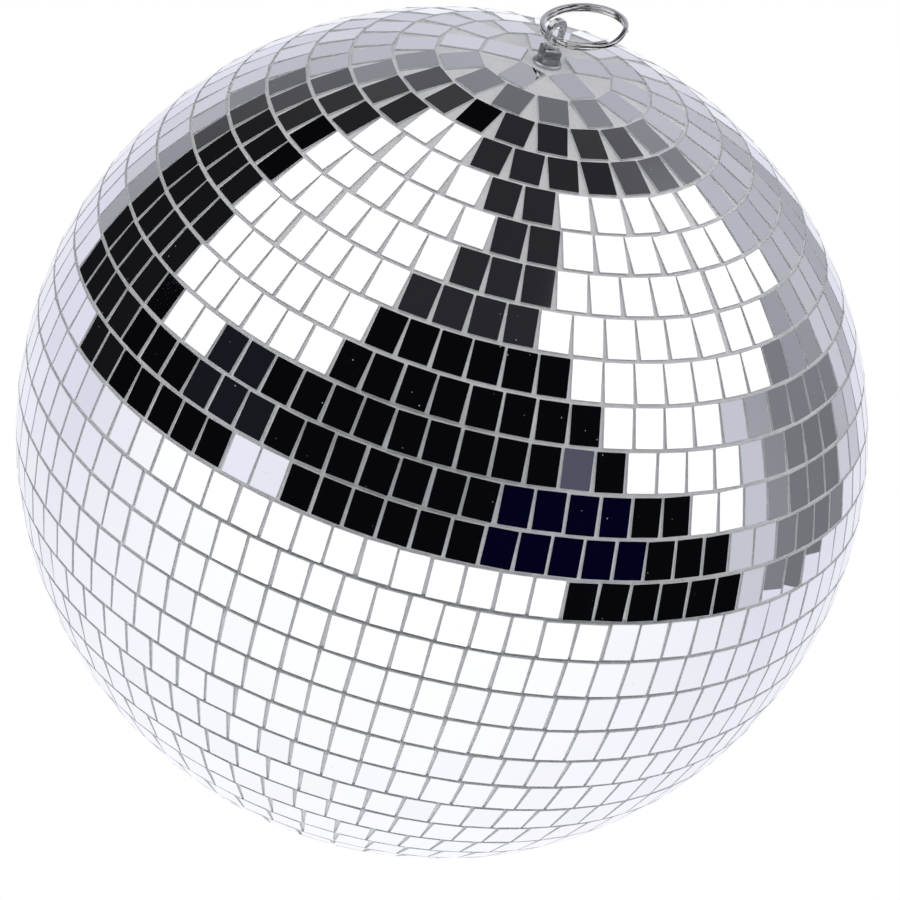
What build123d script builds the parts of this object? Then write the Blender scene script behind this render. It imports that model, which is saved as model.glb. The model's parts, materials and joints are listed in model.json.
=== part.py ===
from build123d import *
import math
import os
import random

# An 8 inch mirror ball, in millimetres, +Z up. The origin is on the ball's axis, in the
# hanger eye's slot, at the middle of the split ring's wire. The ball hangs below it.
# Longitudes are counted from the front, which faces -Y, and grow towards +X.

# Glass tiles
FACE_RADIUS = 101.6  # ball's centre to the middle of a tile's front
TILE_WIDTH = 7.4
TILE_HEIGHT = 9.55
TILE_THICKNESS = 1.5
TILE_PITCH = 8.0  # least spacing of tiles along the middle of a row
EDGE_GAP = 0.2  # least gap between tiles at a row's shorter edge
ROWS_PER_HALF = 15
ROW_PITCH = 5.8  # degrees of latitude, so the rows end 3 degrees short of each pole

# The tiles are laid by hand: each row starts at its own longitude and closes at a seam.
UPPER_STARTS = [2, 3.5, 0, 0.5, 3, 2.5, 1, -1, 0, -1.5, 3.5, -3, 3, -1, 8]
LOWER_STARTS = [1.7, 1.7, 1.7, 1.7, 1.7, 4.4, 4.5, 1.2, 1.7, 1.7, 1.7, 1.7, 1.7, 1.7, 1.7]
BACK_SEAM = -180  # longitude where most rows close
FRONT_SEAMS = (-38, 42)  # longitudes where the upper rows below close instead
FRONT_SEAM_ROWS = range(8, 12)
SEAM_GAP = 0.9  # extra gap at a seam
SEAM_TWIST = 3  # degrees that the tile before a seam is turned by
SHIFT_SHARE = 0.25  # of the gap, the most that a tile is off its place
MOST_SHIFT = 0.12
MOST_TWIST = 1.2  # degrees about the tile's own normal
MOST_TILT = 0.55  # degrees that a tile leans

# Moulded core, in two half shells with a lap joint at the equator
ADHESIVE_FILM = 0.06
SHELL_WALL = 2.2
LAP_HEIGHT = 4.0
LAP_CLEARANCE = 0.09
BOSS_RADIUS = 8.0
BOSS_DEPTH = 6.0
CORE_RADIUS = FACE_RADIUS - TILE_THICKNESS - ADHESIVE_FILM

# Hanger
RING_HEIGHT = 6.0  # the ring's wire above the tiles' level at the pole
CENTRE_Z = -(FACE_RADIUS + RING_HEIGHT)
CORE_TOP_Z = CENTRE_Z + CORE_RADIUS
SHANK_RADIUS = 1.5
BORE_CLEARANCE = 0.05
OUTER_WASHER_RADIUS = 3.5
OUTER_WASHER_THICKNESS = 2.0
COLLAR_SIDE = 4.2
COLLAR_HEIGHT = 3.5
COLLAR_TURN = 23  # degrees
EYE_TURN = 48  # degrees from the front to the way the eye's slot faces
EYE_WIDTH = 5.2
EYE_THICKNESS = 1.6
EYE_WALL_TOP = 1.8
SLOT_WIDTH = 3.2
SLOT_LENGTH = 5.2
SLOT_BELOW_WIRE = 1.45
EYE_EDGE_RADIUS = 0.25
LOAD_WASHER_RADIUS = 6.0
LOAD_WASHER_THICKNESS = 1.0
LOCK_WASHER_RADIUS = 3.1
LOCK_WASHER_THICKNESS = 0.8
NUT_ACROSS_FLATS = 5.5
NUT_HEIGHT = 2.4
SHANK_TAIL = 2.0  # length of shank below the nut

# Split ring: flat wire in two turns, with a ramp from the lower turn to the upper one
RING_OUTER_RADIUS = 10.4
WIRE_WIDTH = 1.1  # across the band, towards the ring's middle
WIRE_THICKNESS = 0.9
TURN_GAP = 0.05
RAMP_HALF_ANGLE = 24
RAMP_AT = -75  # degrees round the ring from the point opposite the eye
END_GAP_ANGLE = 3
RING_RISE_BEARING = 15  # degrees from +X to the bearing in which the ring slopes up
RING_RISE = 12.9  # degrees of slope
RING_BEARING = 36  # degrees, in its own plane, from that bearing to the ring's middle


def centred(shape):
    """Moves a shape made about the ball's centre to its place."""
    return Pos(0, 0, CENTRE_Z) * shape


def save(shape, node):
    """Writes one piece as its own STEP file."""
    shape.label = node
    export_step(shape, f"parts/{node}.step")


# Glass tiles


def tile_count(latitude):
    """As many tiles as fit both the row's middle and its shorter edge."""
    middle_radius = FACE_RADIUS * math.cos(latitude)
    back_radius = (FACE_RADIUS - TILE_THICKNESS) * math.cos(latitude)
    edge_radius = back_radius - TILE_HEIGHT / 2 * math.sin(latitude)
    by_middle = 2 * math.pi * middle_radius / TILE_PITCH
    by_edge = math.pi / math.atan((TILE_WIDTH + EDGE_GAP) / (2 * edge_radius))
    return int(min(by_middle, by_edge)), edge_radius


def tile(latitude, longitude, east_shift, north_shift, tilt, twist):
    """One flat tile with its front's middle on the face radius."""
    outward = Vector(
        math.cos(latitude) * math.sin(longitude),
        -math.cos(latitude) * math.cos(longitude),
        math.sin(latitude),
    )
    east = Vector(math.cos(longitude), math.sin(longitude), 0)
    seat = Plane(origin=outward * FACE_RADIUS, x_dir=east, z_dir=outward)
    laid = Pos(east_shift, north_shift, 0) * Rot(tilt[0], tilt[1], twist)
    box = Box(
        TILE_WIDTH,
        TILE_HEIGHT,
        TILE_THICKNESS,
        align=(Align.CENTER, Align.CENTER, Align.MAX),
    )
    return seat.location * laid * box


def tile_row(row, half):
    """A row of tiles. half is 1 above the equator and -1 below it; rows count from it."""
    dice = random.Random(100 * half + row)
    latitude = math.radians((row - 0.5) * ROW_PITCH)
    count, edge_radius = tile_count(latitude)
    seams = FRONT_SEAMS if half > 0 and row in FRONT_SEAM_ROWS else (BACK_SEAM,)
    seam = SEAM_GAP / (FACE_RADIUS * math.cos(latitude))
    step = (2 * math.pi - len(seams) * seam) / count
    gap = 2 * edge_radius * math.tan(step / 2) - TILE_WIDTH
    starts = UPPER_STARTS if half > 0 else LOWER_STARTS
    start = math.radians(starts[row - 1])
    first = start - round((start - math.radians(seams[0])) / step) * step
    closing = [count - 1] + [round((math.radians(s) - first) / step) for s in seams[1:]]
    shift = min(MOST_SHIFT, SHIFT_SHARE * gap)
    twist = min(MOST_TWIST * (1 + gap), math.degrees(shift / TILE_HEIGHT) * 2)
    tiles = []
    for place in range(count):
        turn = SEAM_TWIST if place in closing else dice.uniform(-twist, twist)
        tilt = (dice.uniform(-MOST_TILT, MOST_TILT), dice.uniform(-MOST_TILT, MOST_TILT))
        seams_passed = sum(place > end for end in closing)
        tiles.append(
            tile(
                half * latitude,
                first + (place + 0.5) * step + seams_passed * seam,
                dice.uniform(-shift, shift),
                dice.uniform(-shift, shift),
                tilt,
                turn,
            )
        )
    return centred(Compound(children=tiles))


def bottom_pole_tile():
    """The square-cut tile that closes the bottom."""
    box = Box(
        TILE_WIDTH, TILE_WIDTH, TILE_THICKNESS, align=(Align.CENTER, Align.CENTER, Align.MIN)
    )
    return centred(Pos(0, 0, -FACE_RADIUS) * box)


# Core


def hollow_ball():
    return Sphere(CORE_RADIUS) - Sphere(CORE_RADIUS - SHELL_WALL)


def half_space(side):
    """A block over everything above (side 1) or below (side -1) the equator."""
    size = 3 * CORE_RADIUS
    return Pos(0, 0, side * size / 2) * Box(size, size, size)


def core_upper_shell():
    """Upper half, with a boss for the hanger and a pocket for the lower half's lip."""
    shell = hollow_ball() & half_space(1)
    boss = Pos(0, 0, CORE_RADIUS - BOSS_DEPTH) * Cylinder(
        BOSS_RADIUS, BOSS_DEPTH, align=(Align.CENTER, Align.CENTER, Align.MIN)
    )
    shell += boss & Sphere(CORE_RADIUS)
    shell -= Pos(0, 0, CORE_RADIUS) * Cylinder(SHANK_RADIUS + BORE_CLEARANCE, 4 * BOSS_DEPTH)
    lip_pocket = Cylinder(CORE_RADIUS - SHELL_WALL / 2, 2 * (LAP_HEIGHT + LAP_CLEARANCE))
    return centred(shell - lip_pocket)


def core_lower_shell():
    """Lower half, with a lip that stands up inside the upper half."""
    shell = hollow_ball() & half_space(-1)
    lip_radius = CORE_RADIUS - SHELL_WALL / 2 - LAP_CLEARANCE
    lip_inner_radius = CORE_RADIUS - SHELL_WALL - 0.4
    lip = Cylinder(lip_radius, 2 * LAP_HEIGHT) - Cylinder(lip_inner_radius, 2 * LAP_HEIGHT)
    return centred(shell + lip)


# Hanger


def drilled(shape):
    """Cuts the clearance bore for the shank."""
    return shape - Cylinder(SHANK_RADIUS + BORE_CLEARANCE, 40)


def standing(shape, bottom_z):
    """Puts a shape made from z = 0 upwards on the axis at a height."""
    return Pos(0, 0, bottom_z) * shape


def disc(radius, height):
    return Cylinder(radius, height, align=(Align.CENTER, Align.CENTER, Align.MIN))


def outer_washer():
    """Thick washer that seats the collar just above the tiles."""
    washer = disc(OUTER_WASHER_RADIUS, OUTER_WASHER_THICKNESS)
    washer = chamfer(washer.edges().group_by(Axis.Z)[-1], 0.3)
    return standing(drilled(washer), CORE_TOP_Z)


def square_collar():
    """Square block that the eye stands on."""
    block = Box(
        COLLAR_SIDE, COLLAR_SIDE, COLLAR_HEIGHT, align=(Align.CENTER, Align.CENTER, Align.MIN)
    )
    block = chamfer(block.edges().group_by(Axis.Z)[-1], 0.3)
    turned = Rot(0, 0, COLLAR_TURN) * drilled(block)
    return standing(turned, CORE_TOP_Z + OUTER_WASHER_THICKNESS)


def hanger_eye():
    """Flat eye with a long slot, on a round shank through the core's boss."""
    slot_middle_z = SLOT_LENGTH / 2 - SLOT_BELOW_WIRE
    collar_top_z = CORE_TOP_Z + OUTER_WASHER_THICKNESS + COLLAR_HEIGHT
    eye_top_z = SLOT_LENGTH - SLOT_BELOW_WIRE + EYE_WALL_TOP
    eye_middle_z = (eye_top_z + collar_top_z) / 2
    eye_length = eye_top_z - collar_top_z
    outline = Pos(0, eye_middle_z) * SlotOverall(eye_length, EYE_WIDTH, rotation=90)
    slot = Pos(0, slot_middle_z) * SlotOverall(SLOT_LENGTH, SLOT_WIDTH, rotation=90)
    eye = extrude(Plane.XZ * (outline - slot), EYE_THICKNESS / 2, both=True)
    faces = eye.faces().sort_by(Axis.Y)
    eye = fillet(faces[0].edges() + faces[-1].edges(), EYE_EDGE_RADIUS)
    shank_bottom_z = CORE_TOP_Z - BOSS_DEPTH - LOAD_WASHER_THICKNESS
    shank_bottom_z -= LOCK_WASHER_THICKNESS + NUT_HEIGHT + SHANK_TAIL
    shank_top_z = collar_top_z + 0.5
    shank = standing(disc(SHANK_RADIUS, shank_top_z - shank_bottom_z), shank_bottom_z)
    shank = chamfer(shank.edges().group_by(Axis.Z)[0], 0.4)
    return Rot(0, 0, EYE_TURN) * (eye + shank)


def load_washer():
    """Wide washer that spreads the ball's weight over the boss."""
    washer = disc(LOAD_WASHER_RADIUS, LOAD_WASHER_THICKNESS)
    return standing(drilled(washer), CORE_TOP_Z - BOSS_DEPTH - LOAD_WASHER_THICKNESS)


def lock_washer():
    """Split spring washer."""
    washer = disc(LOCK_WASHER_RADIUS, LOCK_WASHER_THICKNESS)
    split = Pos(LOCK_WASHER_RADIUS, 0, 0) * Box(2 * LOCK_WASHER_RADIUS, 0.6, 4)
    bottom_z = CORE_TOP_Z - BOSS_DEPTH - LOAD_WASHER_THICKNESS - LOCK_WASHER_THICKNESS
    return standing(drilled(washer) - split, bottom_z)


def hanger_nut():
    """Hexagon nut on the end of the shank."""
    hexagon = RegularPolygon(NUT_ACROSS_FLATS / 2, 6, major_radius=False)
    nut = extrude(hexagon, NUT_HEIGHT)
    nut &= Cone(NUT_ACROSS_FLATS * 0.75, NUT_ACROSS_FLATS * 0.5, 2 * NUT_HEIGHT)
    bottom_z = CORE_TOP_Z - BOSS_DEPTH - LOAD_WASHER_THICKNESS - LOCK_WASHER_THICKNESS
    return standing(drilled(nut), bottom_z - NUT_HEIGHT)


# Split ring


def wire_section(angle, height):
    """The wire's section at an angle round the ring and a height over its middle plane."""
    seat = Plane(
        origin=(
            (RING_OUTER_RADIUS - WIRE_WIDTH / 2) * math.cos(math.radians(angle)),
            (RING_OUTER_RADIUS - WIRE_WIDTH / 2) * math.sin(math.radians(angle)),
            height,
        ),
        x_dir=(math.cos(math.radians(angle)), math.sin(math.radians(angle)), 0),
        z_dir=(-math.sin(math.radians(angle)), math.cos(math.radians(angle)), 0),
    )
    return seat * Rectangle(WIRE_WIDTH, WIRE_THICKNESS)


def flat_turn(start, sweep, height):
    """A flat stretch of the wire."""
    return revolve(wire_section(start, height), Axis.Z, sweep)


def split_ring():
    """Two turns of flat wire, in the pose where the ring leans on the hanger."""
    level = (WIRE_THICKNESS + TURN_GAP) / 2
    ramp_start = RAMP_AT - RAMP_HALF_ANGLE
    ramp_end = RAMP_AT + RAMP_HALF_ANGLE
    sweep = 360 - 2 * RAMP_HALF_ANGLE - END_GAP_ANGLE
    lower = flat_turn(ramp_start - sweep, sweep, -level)
    upper = flat_turn(ramp_end, sweep, level)
    steps = 8
    sections = []
    for step in range(steps + 1):
        share = step / steps
        climb = share * share * (3 - 2 * share)
        angle = ramp_start + share * (ramp_end - ramp_start)
        sections.append(wire_section(angle, -level + 2 * level * climb))
    ring = lower + loft(sections) + upper
    wire_radius = RING_OUTER_RADIUS - WIRE_WIDTH / 2
    out_from_eye = Rot(0, 0, RING_BEARING) * Pos(wire_radius, 0, 0) * ring
    return Rot(0, 0, RING_RISE_BEARING) * Rot(0, -RING_RISE, 0) * out_from_eye


os.makedirs("parts", exist_ok=True)
for row_number in range(1, ROWS_PER_HALF + 1):
    save(tile_row(row_number, 1), f"tile_row_upper_{row_number:02d}")
    save(tile_row(row_number, -1), f"tile_row_lower_{row_number:02d}")
save(bottom_pole_tile(), "bottom_pole_tile")
save(core_upper_shell(), "core_upper_shell")
save(core_lower_shell(), "core_lower_shell")
save(outer_washer(), "outer_washer")
save(square_collar(), "square_collar")
save(hanger_eye(), "hanger_eye")
save(load_washer(), "load_washer")
save(lock_washer(), "lock_washer")
save(hanger_nut(), "hanger_nut")
save(split_ring(), "split_ring")
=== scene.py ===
"""A mirror ball with its split ring, in a studio of softboxes, flags and a lit table."""

import json
import math
import random

import bmesh
import bpy
from mathutils import Matrix, Vector, noise


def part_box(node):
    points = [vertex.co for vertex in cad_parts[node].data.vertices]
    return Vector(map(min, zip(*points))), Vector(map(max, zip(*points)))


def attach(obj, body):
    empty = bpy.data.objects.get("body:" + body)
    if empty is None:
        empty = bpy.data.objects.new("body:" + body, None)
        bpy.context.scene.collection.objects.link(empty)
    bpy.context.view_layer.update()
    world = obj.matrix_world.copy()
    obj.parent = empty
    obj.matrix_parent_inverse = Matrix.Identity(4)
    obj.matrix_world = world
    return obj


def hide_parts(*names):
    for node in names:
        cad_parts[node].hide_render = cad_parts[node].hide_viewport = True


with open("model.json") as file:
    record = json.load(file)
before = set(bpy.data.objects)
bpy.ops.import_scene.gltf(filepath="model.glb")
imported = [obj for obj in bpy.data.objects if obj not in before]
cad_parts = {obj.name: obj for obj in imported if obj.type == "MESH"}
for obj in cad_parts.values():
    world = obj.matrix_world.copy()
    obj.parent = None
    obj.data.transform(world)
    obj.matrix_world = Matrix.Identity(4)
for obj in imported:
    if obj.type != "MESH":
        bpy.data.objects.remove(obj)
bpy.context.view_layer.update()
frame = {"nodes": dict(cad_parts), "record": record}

MM = 0.001
WHITE = (1.0, 1.0, 1.0)

# Places and sizes that come from the frame
CENTRE = Vector((0, 0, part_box("core_upper_shell")[0].z))
BALL_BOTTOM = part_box("bottom_pole_tile")[0].z
FACE_RADIUS = CENTRE.z - BALL_BOTTOM
HANG_RING = next(m for m in frame["record"]["mounts"] if m["name"] == "hang_ring")

# Camera: a long lens that looks down, with the ball's axis leaning to the right; angles in degrees
CAMERA_ELEVATION = 27.6
CAMERA_ROLL = 15.9
CAMERA_DISTANCE = 22.43 * FACE_RADIUS
CAMERA_LENS = 381.6
CAMERA_REACH = 50
SENSOR_WIDTH = 36.0
AIM_RIGHT = 1.9 * MM
AIM_UP = -4.2 * MM

# Studio: radii in metres from the ball's centre, azimuths and elevations in degrees
ROOM_RADIUS = 6.0
ROOM_TONE = (0.0025, 0.0025, 0.004)
SOFTBOX_STRENGTH = 1.15
WINDOW_RADIUS = 6.1
CEILING_RADIUS = 7.3
CEILING_ELEVATION = 57
CEILING_STEP = 20
BACKDROP_RADIUS = 6.2
BACKDROP_FROM, BACKDROP_TO = 97, 228
BACKDROP_LOW, BACKDROP_HIGH = -60, 56
BACKDROP_COLUMNS = 90
BACKDROP_ROWS = 60
BACKDROP_BEND = 12
LAVENDER = Vector((0.98, 0.98, 1.10))

# Floor and table under the ball, in metres
FLOOR_GAP = 1 * MM
FLOOR_HALF_SIZE = 3.0
TABLE_OUTLINE = [(-0.56, -1.1), (0.42, -1.1), (0.42, 0.09), (0.36, 0.12), (0.36, 1.4), (-0.56, 1.4)]
TABLE_STRENGTH = 1.13
# Dimmer lavender glow of the table behind the ball and towards its sides: painted shade
TABLE_SHADE_LAVENDER = (0.67, 0.67, 0.77)

# Fill lamps: name, azimuth, elevation and strength
FILL_LIGHTS = [
    ("fill_front", 0, -28, 3.7),
    ("fill_top", 0, 75, 3.4),
    ("fill_left", -90, 12, 1.5),
    ("fill_right", 90, 12, 1.5),
    ("fill_back", 180, 45, 1.2),
]
FILL_ANGLE = math.radians(50)

# Tiles
GLASS_INSET = 0.03 * MM
ARRIS = 0.10 * MM
BACK_COAT = 0.14 * MM
RIM = 0.45 * MM
CORNER_CUT = 0.16 * MM
CUT_WANDER = 0.03 * MM
MIRROR_SLOT, GLASS_SLOT, COAT_SLOT = 0, 1, 2
SILVER = (0.94, 0.945, 0.955)
TONE_SPREAD = 0.04
TINT_LOW, TINT_HIGH = -0.004, 0.010

# Split ring: flat wire wound twice
RING_OUTER_RADIUS = 10.4 * MM
WIRE_WIDTH = 1.1 * MM
WIRE_THICKNESS = 0.9 * MM
WIRE_EASE = 0.16 * MM
TURN_GAP = 0.05 * MM
RAMP_AT = math.radians(-75)
RAMP_HALF = math.radians(24)
END_GAP = math.radians(3)
RING_STATIONS = 420

# Adhesive bed: latitudes and longitudes in degrees, longitude 0 at the front
BED_DEPTH = 0.35 * MM
BED_SEGMENTS = 360
BED_UNEVEN = 0.08 * MM
BED_LUMPS = 75
ROW_PITCH = 5.8
ROWS_PER_HALF = 15

# Troughs in the joints between the lower rows: flat floors between sloping sides, deepest at the front
TROUGH_DEPTH = 0.65 * MM
TROUGH_FLOOR = 0.30
TROUGH_EDGE = 0.42
TROUGH_TOP = 12
TROUGH_TOP_FADE = 2
TROUGH_LONGITUDE = 6
TROUGH_END_COSINE = 0.72
TROUGH_COSINE_FADE = 0.2

# Hollow: an oval on the front where the adhesive is thinner
HOLLOW_DEPTH = 0.5 * MM
HOLLOW_LATITUDE = 23
HOLLOW_LONGITUDE = -4
HOLLOW_HALF_HEIGHT = 12
HOLLOW_HALF_WIDTH = 24


# ---------------------------------------------------------------- small helpers


def direction(azimuth, elevation):
    """Unit vector towards an azimuth (0 is the front, 90 is +X) and an elevation, in degrees."""
    a, e = math.radians(azimuth), math.radians(elevation)
    return Vector((math.sin(a) * math.cos(e), -math.cos(a) * math.cos(e), math.sin(e)))


def clamped(value):
    """The value, kept between 0 and 1."""
    return min(max(value, 0), 1)


def mesh_from(shape, name):
    """Turns a bmesh into a mesh."""
    mesh = bpy.data.meshes.new(name)
    shape.to_mesh(mesh)
    shape.free()
    return mesh


def placed(name, data):
    """A new object in the scene."""
    thing = bpy.data.objects.new(name, data)
    bpy.context.scene.collection.objects.link(thing)
    return thing


def finished(shape, name, materials, *replaced, body="ball", slot=None):
    """Turns a bmesh into a piece that rides on its body."""
    mesh = mesh_from(shape, name)
    for material in materials:
        mesh.materials.append(material)
    piece = placed(name, mesh)
    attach(piece, body)
    if replaced:
        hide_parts(*replaced)
    return piece


def staged(name, mesh, material, camera_sees=False):
    """A sheet of the studio, which is no part of the object."""
    mesh.materials.append(material)
    sheet = placed(name, mesh)
    sheet.visible_camera = camera_sees
    return sheet


# ---------------------------------------------------------------- materials


def new_material(name):
    """A material with its nodes, its links and its main shader."""
    material = bpy.data.materials.new(name)
    material.use_nodes = True
    nodes = material.node_tree.nodes
    return material, nodes, material.node_tree.links, nodes["Principled BSDF"]


def noise_value(nodes, links, scale, detail, vector=None):
    """Noise over the object, or along another vector, from 0 to 1."""
    node = nodes.new("ShaderNodeTexNoise")
    node.inputs["Scale"].default_value = scale
    node.inputs["Detail"].default_value = detail
    links.new(vector or object_coordinates(nodes), node.inputs["Vector"])
    return node.outputs["Fac"]


def object_coordinates(nodes):
    """The object coordinates, from one shared node in each material."""
    for node in nodes:
        if node.bl_idname == "ShaderNodeTexCoord":
            return node.outputs["Object"]
    return nodes.new("ShaderNodeTexCoord").outputs["Object"]


def ramp(nodes, links, source, stops):
    """A colour ramp from (position, colour) stops."""
    node = nodes.new("ShaderNodeValToRGB")
    elements = node.color_ramp.elements
    while len(elements) < len(stops):
        elements.new(0.5)
    for element, (position, colour) in zip(elements, stops):
        element.position = position
        element.color = (*colour, 1)
    links.new(source, node.inputs["Fac"])
    return node.outputs["Color"]


def grey(value):
    return (value, value, value)


def value_range(nodes, links, source, low, high, from_low=0.0, from_high=1.0):
    """Maps a source that runs between from_low and from_high to values between low and high."""
    node = nodes.new("ShaderNodeMapRange")
    node.inputs["From Min"].default_value = from_low
    node.inputs["From Max"].default_value = from_high
    node.inputs["To Min"].default_value = low
    node.inputs["To Max"].default_value = high
    links.new(source, node.inputs["Value"])
    return node.outputs["Result"]


def mix_colour(nodes, links, factor, first, second, blend="MIX"):
    """Blends two colours; each of the three inputs is a number, a colour or a socket."""
    node = nodes.new("ShaderNodeMix")
    node.data_type = "RGBA"
    node.blend_type = blend
    for socket, value in ((node.inputs[0], factor), (node.inputs[6], first), (node.inputs[7], second)):
        if isinstance(value, (int, float)):
            socket.default_value = value
        elif isinstance(value, tuple):
            socket.default_value = (*value, 1)
        else:
            links.new(value, socket)
    return node.outputs[2]


def bump(nodes, links, principled, height, distance):
    """Small relief in the shading, as high as the distance."""
    node = nodes.new("ShaderNodeBump")
    node.inputs["Distance"].default_value = distance
    links.new(height, node.inputs["Height"])
    links.new(node.outputs["Normal"], principled.inputs["Normal"])


def attribute(nodes, name):
    """Reads a value that the mesh carries."""
    node = nodes.new("ShaderNodeAttribute")
    node.attribute_name = name
    return node


def mirror_face():
    """Silvered glass: a slightly different tone in each tile, faint haze, dust and darker rims."""
    material, nodes, links, principled = new_material("mirror_face")
    tone = attribute(nodes, "tone").outputs["Color"]
    rim = attribute(nodes, "rim").outputs["Fac"]
    haze = noise_value(nodes, links, 60, 4)
    dust = nodes.new("ShaderNodeTexVoronoi")
    dust.inputs["Scale"].default_value = 420
    links.new(object_coordinates(nodes), dust.inputs["Vector"])
    speck = ramp(nodes, links, dust.outputs["Distance"], [(0.045, grey(1)), (0.075, grey(0))])
    where = noise_value(nodes, links, 130, 2)
    patches = ramp(nodes, links, where, [(0.56, grey(0)), (0.62, grey(1))])
    dusty = mix_colour(nodes, links, 1.0, speck, patches, "MULTIPLY")
    wear = value_range(nodes, links, rim, 0.0, 0.25, from_low=0.55, from_high=1.0)
    worn = mix_colour(nodes, links, wear, tone, (0.42, 0.42, 0.44))
    colour = mix_colour(nodes, links, dusty, worn, (0.75, 0.75, 0.78))
    roughness = value_range(nodes, links, haze, 0.004, 0.02, from_low=0.3, from_high=0.75)
    links.new(colour, principled.inputs["Base Color"])
    links.new(value_range(nodes, links, dusty, 1.0, 0.35), principled.inputs["Metallic"])
    links.new(roughness, principled.inputs["Roughness"])
    waves = noise_value(nodes, links, 45, 1)
    bump(nodes, links, principled, waves, 0.0025 * MM)
    return material


def glass_edge():
    """The cut edge of the glass: pale grey, finely rippled by the cutter."""
    material, nodes, links, principled = new_material("glass_edge")
    shade = noise_value(nodes, links, 900, 3)
    colour = ramp(nodes, links, shade, [(0.3, (0.56, 0.58, 0.59)), (0.7, (0.70, 0.72, 0.73))])
    links.new(colour, principled.inputs["Base Color"])
    links.new(value_range(nodes, links, shade, 0.12, 0.35), principled.inputs["Roughness"])
    principled.inputs["IOR"].default_value = 1.52
    ripple = noise_value(nodes, links, 2500, 2)
    bump(nodes, links, principled, ripple, 0.002 * MM)
    return material


def back_coat():
    """Grey protective paint on the silvering."""
    material, nodes, links, principled = new_material("back_coat")
    shade = noise_value(nodes, links, 700, 4)
    colour = ramp(nodes, links, shade, [(0.35, (0.20, 0.20, 0.21)), (0.7, (0.33, 0.33, 0.34))])
    links.new(colour, principled.inputs["Base Color"])
    principled.inputs["Roughness"].default_value = 0.55
    return material


def silver_paint(name, dark, light, roughness, grain):
    """Silver paint over moulded plastic or adhesive."""
    material, nodes, links, principled = new_material(name)
    cloud = noise_value(nodes, links, 55, 5)
    flake = noise_value(nodes, links, grain, 3)
    base = ramp(nodes, links, cloud, [(0.3, dark), (0.7, light)])
    sparkle = ramp(nodes, links, flake, [(0.35, grey(0.92)), (0.7, grey(1.0))])
    colour = mix_colour(nodes, links, 1.0, base, sparkle, "MULTIPLY")
    uneven = value_range(nodes, links, flake, roughness - 0.1, roughness + 0.12)
    links.new(colour, principled.inputs["Base Color"])
    principled.inputs["Metallic"].default_value = 0.1
    links.new(uneven, principled.inputs["Roughness"])
    principled.inputs["Specular IOR Level"].default_value = 0.25
    bump(nodes, links, principled, cloud, 0.01 * MM)
    return material


def plated_metal(name, dark, light, roughness, scratch_scale):
    """Plated metal with fine scratches and faint stains."""
    material, nodes, links, principled = new_material(name)
    stretch = nodes.new("ShaderNodeMapping")
    stretch.inputs["Scale"].default_value = (1, 1, 9)
    links.new(object_coordinates(nodes), stretch.inputs["Vector"])
    scratches = noise_value(nodes, links, scratch_scale, 6, stretch.outputs["Vector"])
    stains = noise_value(nodes, links, 300, 4)
    smooth, rough = roughness * 0.5, roughness * 1.7
    dulled = value_range(nodes, links, scratches, smooth, rough, from_low=0.3, from_high=0.7)
    links.new(ramp(nodes, links, stains, [(0.3, dark), (0.6, light)]), principled.inputs["Base Color"])
    principled.inputs["Metallic"].default_value = 1.0
    links.new(dulled, principled.inputs["Roughness"])
    bump(nodes, links, principled, scratches, 0.006 * MM)
    return material


# ---------------------------------------------------------------- tiles


def tile_islands(node):
    """The vertices and face normals of each separate tile in a CAD row."""
    shape = bmesh.new()
    shape.from_mesh(frame["nodes"][node].data)
    bmesh.ops.remove_doubles(shape, verts=shape.verts, dist=0.001 * MM)
    shape.normal_update()
    waiting = set(shape.verts)
    islands = []
    while waiting:
        start = waiting.pop()
        found, edge = [start], [start]
        while edge:
            for link in edge.pop().link_edges:
                for vertex in link.verts:
                    if vertex in waiting:
                        waiting.discard(vertex)
                        found.append(vertex)
                        edge.append(vertex)
        normals = [face.normal.copy() for vertex in found for face in vertex.link_faces]
        islands.append(([vertex.co.copy() for vertex in found], normals))
    shape.free()
    return islands


def tile_seat(corners, normals):
    """A tile's own frame (front middle, east, north, out) and its half sizes and thickness."""
    middle = sum(corners, Vector()) / len(corners)
    outward = (middle - CENTRE).normalized()
    eastward = Vector((0, 0, 1)).cross(outward)
    eastward = eastward.normalized() if eastward.length > 0.001 else Vector((1, 0, 0))
    out = max(normals, key=lambda n: n.dot(outward))
    east = max(normals, key=lambda n: n.dot(eastward))
    north = out.cross(east).normalized()
    half = [max((c - middle).dot(axis) for c in corners) for axis in (east, north, out)]
    return middle + out * half[2], east, north, out, half[0], half[1], 2 * half[2]


def cut_outline(half_width, half_height, inset, wander):
    """The tile's outline with its corners cut, each corner off by its own small amount."""
    points = []
    for (side_x, side_y), (off_x, off_y) in zip(((1, 1), (-1, 1), (-1, -1), (1, -1)), wander):
        x = side_x * (half_width - inset) - side_x * off_x
        y = side_y * (half_height - inset) - side_y * off_y
        ends = [(x, y - side_y * CORNER_CUT), (x - side_x * CORNER_CUT, y)]
        points += ends if side_x * side_y > 0 else ends[::-1]
    return points


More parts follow.
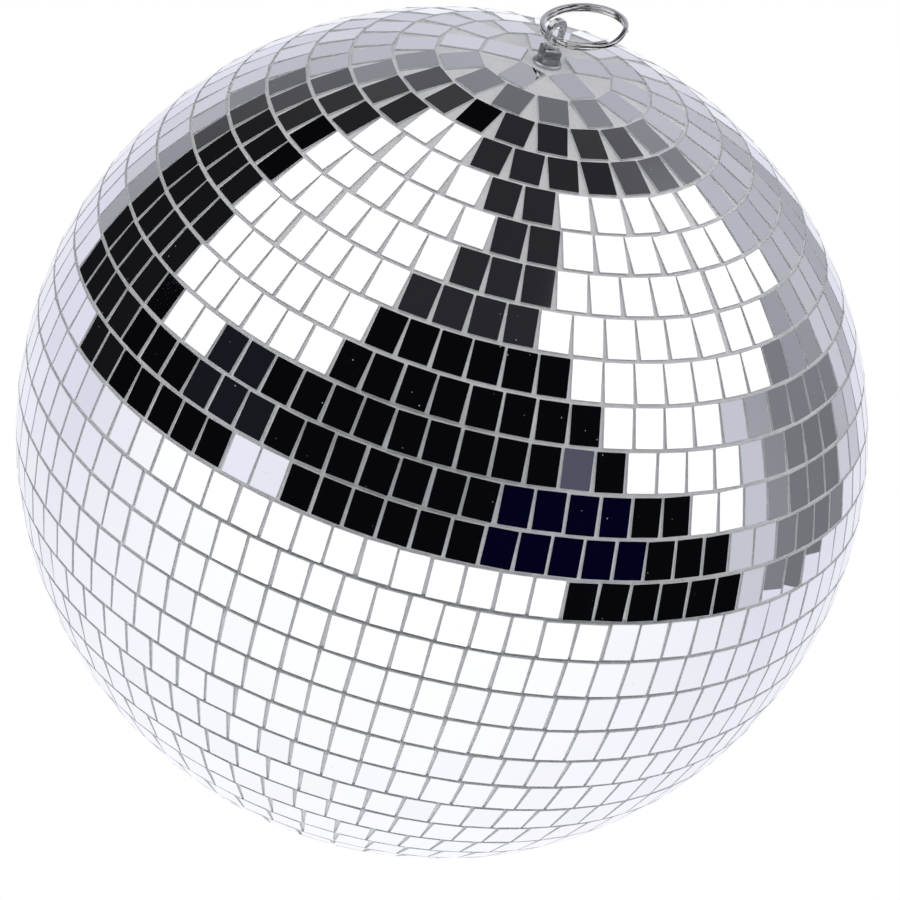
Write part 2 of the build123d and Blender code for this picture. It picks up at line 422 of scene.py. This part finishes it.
def add_tile(shape, seat, layers, dice):
    """One tile: back coat, cut glass sides, arris and a mirror face with its rim."""
    front, east, north, out, half_width, half_height, thickness = seat
    wander = [(dice.uniform(0, CUT_WANDER), dice.uniform(0, CUT_WANDER)) for _ in range(4)]
    levels = [
        (GLASS_INSET * 2, -thickness),
        (GLASS_INSET, BACK_COAT - thickness),
        (GLASS_INSET, -ARRIS),
        (ARRIS, 0),
        (RIM, 0),
    ]
    rings = []
    for inset, depth in levels:
        outline = cut_outline(half_width, half_height, inset, wander)
        rings.append([shape.verts.new(front + east * x + north * y + out * depth) for x, y in outline])
    shade = 1 - dice.random() ** 3 * TONE_SPREAD
    tint = dice.uniform(TINT_LOW, TINT_HIGH)
    red, green, blue = SILVER
    tone = (red * shade - tint * 0.5, green * shade, min(blue * shade + tint, 1), 1)
    made = [(shape.faces.new(rings[0][::-1]), COAT_SLOT)]
    for level, slot_index in enumerate((COAT_SLOT, GLASS_SLOT, GLASS_SLOT, MIRROR_SLOT)):
        lower, upper = rings[level], rings[level + 1]
        for i in range(len(lower)):
            after = (i + 1) % len(lower)
            face = shape.faces.new((lower[i], lower[after], upper[after], upper[i]))
            made.append((face, slot_index))
    made.append((shape.faces.new(rings[-1]), MIRROR_SLOT))
    face_edge = rings[3]
    tone_layer, rim_layer = layers
    for face, slot_index in made:
        face.material_index = slot_index
        for loop in face.loops:
            loop[tone_layer] = tone
            loop[rim_layer] = 1.0 if loop.vert in face_edge else 0.0


def tile_row_piece(node, materials):
    """Detailed tiles in the places of a CAD row's tiles."""
    dice = random.Random(node)
    shape = bmesh.new()
    layers = (shape.loops.layers.float_color.new("tone"), shape.loops.layers.float.new("rim"))
    for corners, normals in tile_islands(node):
        add_tile(shape, tile_seat(corners, normals), layers, dice)
    return finished(shape, "mirror_" + node, materials, node)


# ---------------------------------------------------------------- adhesive bed


def bed_latitudes():
    """Degrees from the equator: the sides of each joint between rows, and steps across each row."""
    latitudes = [0, TROUGH_FLOOR, TROUGH_EDGE]
    for row in range(1, ROWS_PER_HALF + 1):
        joint = row * ROW_PITCH
        latitudes += [joint - ROW_PITCH * share for share in (0.8, 0.6, 0.4, 0.2)]
        latitudes += [joint - TROUGH_EDGE, joint - TROUGH_FLOOR, joint]
        latitudes += [joint + TROUGH_FLOOR, joint + TROUGH_EDGE]
    return latitudes


def trough(longitude, latitude):
    """How far the adhesive sinks in the joints between the lower rows, most at the front."""
    from_joint = abs(latitude - round(latitude / ROW_PITCH) * ROW_PITCH)
    across = clamped((TROUGH_EDGE - from_joint) / (TROUGH_EDGE - TROUGH_FLOOR))
    below = clamped((TROUGH_TOP - latitude) / TROUGH_TOP_FADE)
    towards_front = math.cos(math.radians(longitude - TROUGH_LONGITUDE))
    front = clamped((towards_front - TROUGH_END_COSINE) / TROUGH_COSINE_FADE)
    return TROUGH_DEPTH * across * below * front


def hollow(longitude, latitude):
    """A thinner patch of adhesive on the front, above the middle, that fades over its outer half."""
    up = (latitude - HOLLOW_LATITUDE) / HOLLOW_HALF_HEIGHT
    aside = math.degrees(math.acos(math.cos(math.radians(longitude - HOLLOW_LONGITUDE))))
    across = aside / HOLLOW_HALF_WIDTH
    return HOLLOW_DEPTH * clamped(2 - 2 * math.hypot(up, across))


def adhesive_bed(name, side, material):
    """Silver adhesive that stands up between the tiles, above (side 1) or below (side -1) the equator."""
    shape = bmesh.new()
    rings = []
    for degrees in bed_latitudes():
        row = []
        for segment in range(BED_SEGMENTS):
            place = (360 * segment / BED_SEGMENTS, side * degrees)
            outward = direction(*place)
            uneven = noise.noise(outward * BED_LUMPS) * BED_UNEVEN
            depth = BED_DEPTH + max(trough(*place), hollow(*place)) - uneven
            row.append(shape.verts.new(CENTRE + outward * (FACE_RADIUS - depth)))
        rings.append(row)
    for lower, upper in zip(rings, rings[1:]):
        for i in range(BED_SEGMENTS):
            after = (i + 1) % BED_SEGMENTS
            corners = (lower[i], lower[after], upper[after], upper[i])
            shape.faces.new(corners if side > 0 else corners[::-1])
    cap = shape.faces.new(rings[-1] if side > 0 else rings[-1][::-1])
    bmesh.ops.triangulate(shape, faces=[cap])
    for face in shape.faces:
        face.smooth = True
    return finished(shape, name, [material], slot="core")


# ---------------------------------------------------------------- split ring


def eased_section(width, thickness, ease):
    """The points of a rectangle with rounded corners."""
    points = []
    for side_x, side_y, first in ((1, 1, 0), (-1, 1, 90), (-1, -1, 180), (1, -1, 270)):
        for step in (0, 30, 60, 90):
            angle = math.radians(first + step)
            x = side_x * (width / 2 - ease) + ease * math.cos(angle)
            y = side_y * (thickness / 2 - ease) + ease * math.sin(angle)
            points.append((x, y))
    return points


def split_ring_piece(material):
    """Flat wire with eased corners, wound twice, with a ramp between the turns and cut ends."""
    middle = Vector(HANG_RING["pos_m"])
    up = Vector(HANG_RING["axis"]).normalized()
    out = middle.normalized()
    along = up.cross(out)
    wire_radius = RING_OUTER_RADIUS - WIRE_WIDTH / 2
    level = (WIRE_THICKNESS + TURN_GAP) / 2
    turn = 2 * math.pi - 2 * RAMP_HALF - END_GAP
    start = RAMP_AT - RAMP_HALF - turn
    stop = RAMP_AT + RAMP_HALF + turn
    section = eased_section(WIRE_WIDTH, WIRE_THICKNESS, WIRE_EASE)
    shape = bmesh.new()
    rings = []
    for station in range(RING_STATIONS + 1):
        angle = start + (stop - start) * station / RING_STATIONS
        share = clamped((angle - RAMP_AT + RAMP_HALF) / (2 * RAMP_HALF))
        height = level * (2 * share * share * (3 - 2 * share) - 1)
        outward = out * math.cos(angle) + along * math.sin(angle)
        base = middle + outward * wire_radius + up * height
        rings.append([shape.verts.new(base + outward * x + up * y) for x, y in section])
    for lower, upper in zip(rings, rings[1:]):
        for i in range(len(section)):
            after = (i + 1) % len(section)
            shape.faces.new((lower[i], upper[i], upper[after], lower[after]))
    shape.faces.new(rings[0])
    shape.faces.new(rings[-1][::-1])
    bmesh.ops.recalc_face_normals(shape, faces=shape.faces)
    for face in shape.faces:
        face.smooth = len(face.verts) == 4
    return finished(shape, "split_ring_wire", [material], "split_ring", body="ring", slot="ring_steel")


# ---------------------------------------------------------------- studio


def emission(name, colour, strength):
    """A glow that rays see when they meet it; it isn't sampled as a lamp."""
    material = bpy.data.materials.new(name)
    material.use_nodes = True
    nodes = material.node_tree.nodes
    nodes.clear()
    glow = nodes.new("ShaderNodeEmission")
    glow.inputs["Color"].default_value = (*colour, 1)
    glow.inputs["Strength"].default_value = strength
    out = nodes.new("ShaderNodeOutputMaterial")
    material.node_tree.links.new(glow.outputs["Emission"], out.inputs["Surface"])
    material.cycles.emission_sampling = "NONE"
    return material


def emission_node(nodes):
    """The glow's shader node."""
    return next(node for node in nodes if node.bl_idname == "ShaderNodeEmission")


def panel(name, corners, colour, strength, distance=ROOM_RADIUS):
    """A softbox or flag: triangles round a hub, with its rim at these places as seen from the ball."""
    shape = bmesh.new()
    rim = [shape.verts.new(CENTRE + direction(*corner) * distance) for corner in corners]
    hub = shape.verts.new(sum((v.co for v in rim), Vector()) / len(rim))
    for i in range(len(rim)):
        shape.faces.new((rim[i], rim[(i + 1) % len(rim)], hub))
    staged(name, mesh_from(shape, name), emission(name, colour, strength))


def flat_sheet(name, outline, height, material, camera_sees):
    """A level sheet with this outline."""
    mesh = bpy.data.meshes.new(name)
    mesh.from_pydata([(x, y, height) for x, y in outline], [], [tuple(range(len(outline)))])
    return staged(name, mesh, material, camera_sees)


def table_glow():
    """Painted light on the table top: white in front, turning to a dimmer lavender behind the ball and
    towards the sides, which is painted shade.
    """
    material = emission("table_glow", WHITE, TABLE_STRENGTH)
    nodes, links = material.node_tree.nodes, material.node_tree.links
    position = nodes.new("ShaderNodeSeparateXYZ")
    links.new(object_coordinates(nodes), position.inputs["Vector"])
    sideways = nodes.new("ShaderNodeMath")
    sideways.operation = "ABSOLUTE"
    links.new(position.outputs["X"], sideways.inputs[0])
    aside, back = sideways.outputs["Value"], position.outputs["Y"]
    towards_side = value_range(nodes, links, aside, 0.45, 1, from_low=0.05, from_high=0.35)
    towards_back = value_range(nodes, links, back, 0, 1, from_low=-0.30, from_high=0.02)
    # Painted shade: how far the glow turns from white to the dimmer lavender
    shade = mix_colour(nodes, links, 1.0, towards_side, towards_back, "MULTIPLY")
    tone = mix_colour(nodes, links, shade, WHITE, TABLE_SHADE_LAVENDER)
    links.new(tone, emission_node(nodes).inputs["Color"])
    return material


def studio_floor():
    """A plain white floor, and the lit table top that only the mirrors show."""
    height = BALL_BOTTOM - FLOOR_GAP
    corners = ((-1, -1), (1, -1), (1, 1), (-1, 1))
    square = [(FLOOR_HALF_SIZE * x, FLOOR_HALF_SIZE * y) for x, y in corners]
    white = emission("floor", WHITE, 1.0)
    floor = flat_sheet("floor", square, height - FLOOR_GAP, white, camera_sees=True)
    floor.visible_glossy = False
    floor.visible_diffuse = False
    flat_sheet("table_top", TABLE_OUTLINE, height, table_glow(), camera_sees=False)


def surroundings():
    """A white background for the camera, and a dark room for every other ray."""
    world = bpy.data.worlds.new("studio")
    bpy.context.scene.world = world
    world.use_nodes = True
    nodes, links = world.node_tree.nodes, world.node_tree.links
    nodes.clear()
    room = nodes.new("ShaderNodeBackground")
    room.inputs["Color"].default_value = (*ROOM_TONE, 1)
    page = nodes.new("ShaderNodeBackground")
    page.inputs["Color"].default_value = (*WHITE, 1)
    ray = nodes.new("ShaderNodeLightPath")
    mix = nodes.new("ShaderNodeMixShader")
    out = nodes.new("ShaderNodeOutputWorld")
    links.new(ray.outputs["Is Camera Ray"], mix.inputs["Fac"])
    links.new(room.outputs["Background"], mix.inputs[1])
    links.new(page.outputs["Background"], mix.inputs[2])
    links.new(mix.outputs["Shader"], out.inputs["Surface"])


def studio():
    """Everything that the mirrors show: softboxes, a window, cards, flags, the ceiling and the backdrop."""
    surroundings()
    studio_floor()
    left_softbox = [
        (-158, 80), (-158, 70), (-150, 60), (-144, 51), (-134, 47), (-112, 38), (-100, 25), (-99, 9),
        (-74, 8), (-72, 22), (-60, 26), (-37, 29), (-36, 50), (-28, 66), (-10, 80),
    ]
    right_softbox = [
        (51, 24), (42, 38), (33, 50), (30, 62), (46, 73), (90, 77), (130, 76), (140, 60), (139, 52),
        (148, 46), (136, 30), (134, 22), (120, 19), (113, 15), (106, 18), (97, 21), (92, 19), (91, 4),
        (90, -3), (86, -3), (74, 0), (73, 11), (54, 14),
    ]
    panel("left_softbox", left_softbox, WHITE, SOFTBOX_STRENGTH)
    panel("right_softbox", right_softbox, WHITE, SOFTBOX_STRENGTH)
    side_window = [(86, -2), (86, 21), (99, 21), (104, -6), (103, -14), (97, -14)]
    panel("side_window", side_window, (0.58, 0.59, 0.66), 1.0, distance=WINDOW_RADIUS)
    panel("white_card", [(-54, -7), (-53, 1), (-37, 2), (-37, -7)], (0.85, 0.85, 0.94), 1.0)
    panel("navy_flag", [(18, -6), (20, 12), (60, 13), (62, -4)], (0.001, 0.001, 0.012), 1.0)
    panel("dim_card", [(-74, 0), (-74, 19), (-50, 19), (-48, 0)], (0.010, 0.010, 0.015), 1.0)
    panel("grey_card", [(38, 17), (38, 24), (43, 24), (43, 17)], (0.085, 0.088, 0.125), 1.0)
    panel("left_wall", [(-132, -12), (-132, 36), (-98, 26), (-98, -12)], (0.008, 0.008, 0.010), 1.0)
    ceiling = [(azimuth, CEILING_ELEVATION) for azimuth in range(0, 360, CEILING_STEP)]
    panel("ceiling", ceiling, (0.022, 0.022, 0.027), 1.0, distance=CEILING_RADIUS)
    backdrop()
    fill_light()


def between_stops(stops, place):
    """The tone at a place along a list of (place, tone) stops."""
    if place <= stops[0][0]:
        return stops[0][1]
    for (low, first), (high, second) in zip(stops, stops[1:]):
        if place <= high:
            return first + (second - first) * (place - low) / (high - low)
    return stops[-1][1]


def backdrop_tone(azimuth, elevation):
    """Uneven light on the backdrop: pale near the floor, dimmer and patchier above."""
    low = between_stops(
        [(97, 0.75), (104, 0.28), (112, 0.19), (130, 0.18), (136, 0.24), (139, 0.64), (146, 0.60),
         (152, 0.44), (164, 0.42), (170, 0.72), (180, 0.76), (188, 0.64), (200, 0.72), (221, 0.62),
         (226, 0.02)],
        azimuth,
    )
    middle = between_stops(
        [(98, 0.75), (104, 0.22), (118, 0.21), (126, 0.36), (136, 0.48), (150, 0.50), (162, 0.60),
         (172, 0.50), (190, 0.66), (200, 0.54), (208, 0.50), (213, 0.16), (220, 0.07), (228, 0.01)],
        azimuth,
    )
    top = between_stops(
        [(134, 0.85), (144, 0.60), (148, 0.16), (157, 0.22), (163, 0.42), (190, 0.42), (197, 0.16),
         (208, 0.10), (220, 0.03)],
        azimuth,
    )
    if elevation < BACKDROP_BEND:
        stops = [(2, low), (BACKDROP_BEND, middle)]
    else:
        stops = [(24, middle), (36, top), (45, top * 0.52), (51, top * 0.26), (BACKDROP_HIGH, 0.03)]
    return between_stops(stops, elevation) * LAVENDER


def backdrop():
    """A curved cloth behind the ball that glows with painted light, whose tone changes from place to place.
    """
    width = BACKDROP_TO - BACKDROP_FROM
    height = BACKDROP_HIGH - BACKDROP_LOW
    azimuths = [BACKDROP_FROM + width * i / BACKDROP_COLUMNS for i in range(BACKDROP_COLUMNS + 1)]
    elevations = [BACKDROP_LOW + height * i / BACKDROP_ROWS for i in range(BACKDROP_ROWS + 1)]
    shape = bmesh.new()
    tones = shape.verts.layers.float_color.new("glow")
    rows = []
    for elevation in elevations:
        row = []
        for azimuth in azimuths:
            vertex = shape.verts.new(CENTRE + direction(azimuth, elevation) * BACKDROP_RADIUS)
            vertex[tones] = (*backdrop_tone(azimuth, elevation), 1)
            row.append(vertex)
        rows.append(row)
    for lower, upper in zip(rows, rows[1:]):
        for i in range(len(lower) - 1):
            shape.faces.new((lower[i], lower[i + 1], upper[i + 1], upper[i]))
    material = emission("backdrop", WHITE, 1.0)
    nodes = material.node_tree.nodes
    tone = attribute(nodes, "glow").outputs["Color"]
    material.node_tree.links.new(tone, emission_node(nodes).inputs["Color"])
    staged("backdrop", mesh_from(shape, "backdrop"), material)


def fill_light():
    """Broad lamps from the low front, the top, the sides and the back; the mirrors don't show them."""
    for name, azimuth, elevation, strength in FILL_LIGHTS:
        data = bpy.data.lights.new(name, "SUN")
        data.energy = strength
        data.angle = FILL_ANGLE
        lamp = placed(name, data)
        lamp.rotation_mode = "QUATERNION"
        lamp.rotation_quaternion = direction(azimuth, elevation).to_track_quat("Z", "Y")
        lamp.visible_glossy = False


def camera():
    """A long lens in front and above, rolled so that the ball leans to the right."""
    data = bpy.data.cameras.new("camera")
    data.lens = CAMERA_LENS
    data.sensor_width = SENSOR_WIDTH
    data.clip_end = CAMERA_REACH
    eye = placed("camera", data)
    bpy.context.scene.camera = eye
    back = direction(0, CAMERA_ELEVATION)
    right = Vector((1, 0, 0))
    above = back.cross(right)
    roll = math.radians(CAMERA_ROLL)
    x_axis = right * math.cos(roll) + above * math.sin(roll)
    y_axis = above * math.cos(roll) - right * math.sin(roll)
    place = CENTRE + back * CAMERA_DISTANCE + x_axis * AIM_RIGHT + y_axis * AIM_UP
    turn = Matrix((x_axis, y_axis, back)).transposed().to_4x4()
    eye.matrix_world = Matrix.Translation(place) @ turn


# ---------------------------------------------------------------- putting it together


def build():
    """The tiles, the adhesive and the split ring are new meshes; the other parts keep their CAD meshes."""
    tile_materials = [mirror_face(), glass_edge(), back_coat()]
    rows = [name for name in frame["nodes"] if name.startswith("tile_row") or name == "bottom_pole_tile"]
    for node in sorted(rows):
        tile_row_piece(node, tile_materials)
    bed = silver_paint("adhesive_silver", (0.74, 0.74, 0.77), (0.88, 0.88, 0.91), 0.7, 1100)
    adhesive_bed("adhesive_bed_upper", 1, bed)
    adhesive_bed("adhesive_bed_lower", -1, bed)
    core = silver_paint("core_silver", (0.40, 0.40, 0.42), (0.55, 0.55, 0.57), 0.5, 1500)
    steel = plated_metal("hanger_plate", (0.56, 0.57, 0.58), (0.76, 0.77, 0.78), 0.24, 500)
    satin = plated_metal("collar_plate", (0.40, 0.42, 0.44), (0.56, 0.58, 0.60), 0.36, 500)
    inner = plated_metal("inner_steel", (0.42, 0.42, 0.43), (0.58, 0.58, 0.58), 0.35, 500)
    wire = plated_metal("ring_wire", (0.62, 0.62, 0.62), (0.82, 0.82, 0.82), 0.12, 900)
    split_ring_piece(wire)
    finishes = {
        "core_upper_shell": core,
        "core_lower_shell": core,
        "outer_washer": satin,
        "square_collar": satin,
        "hanger_eye": steel,
        "load_washer": inner,
        "lock_washer": inner,
        "hanger_nut": inner,
    }
    for node, material in finishes.items():
        mesh = frame["nodes"][node].data
        mesh.materials.clear()
        mesh.materials.append(material)


build()
studio()
camera()
bpy.context.scene.view_settings.view_transform = "Standard"
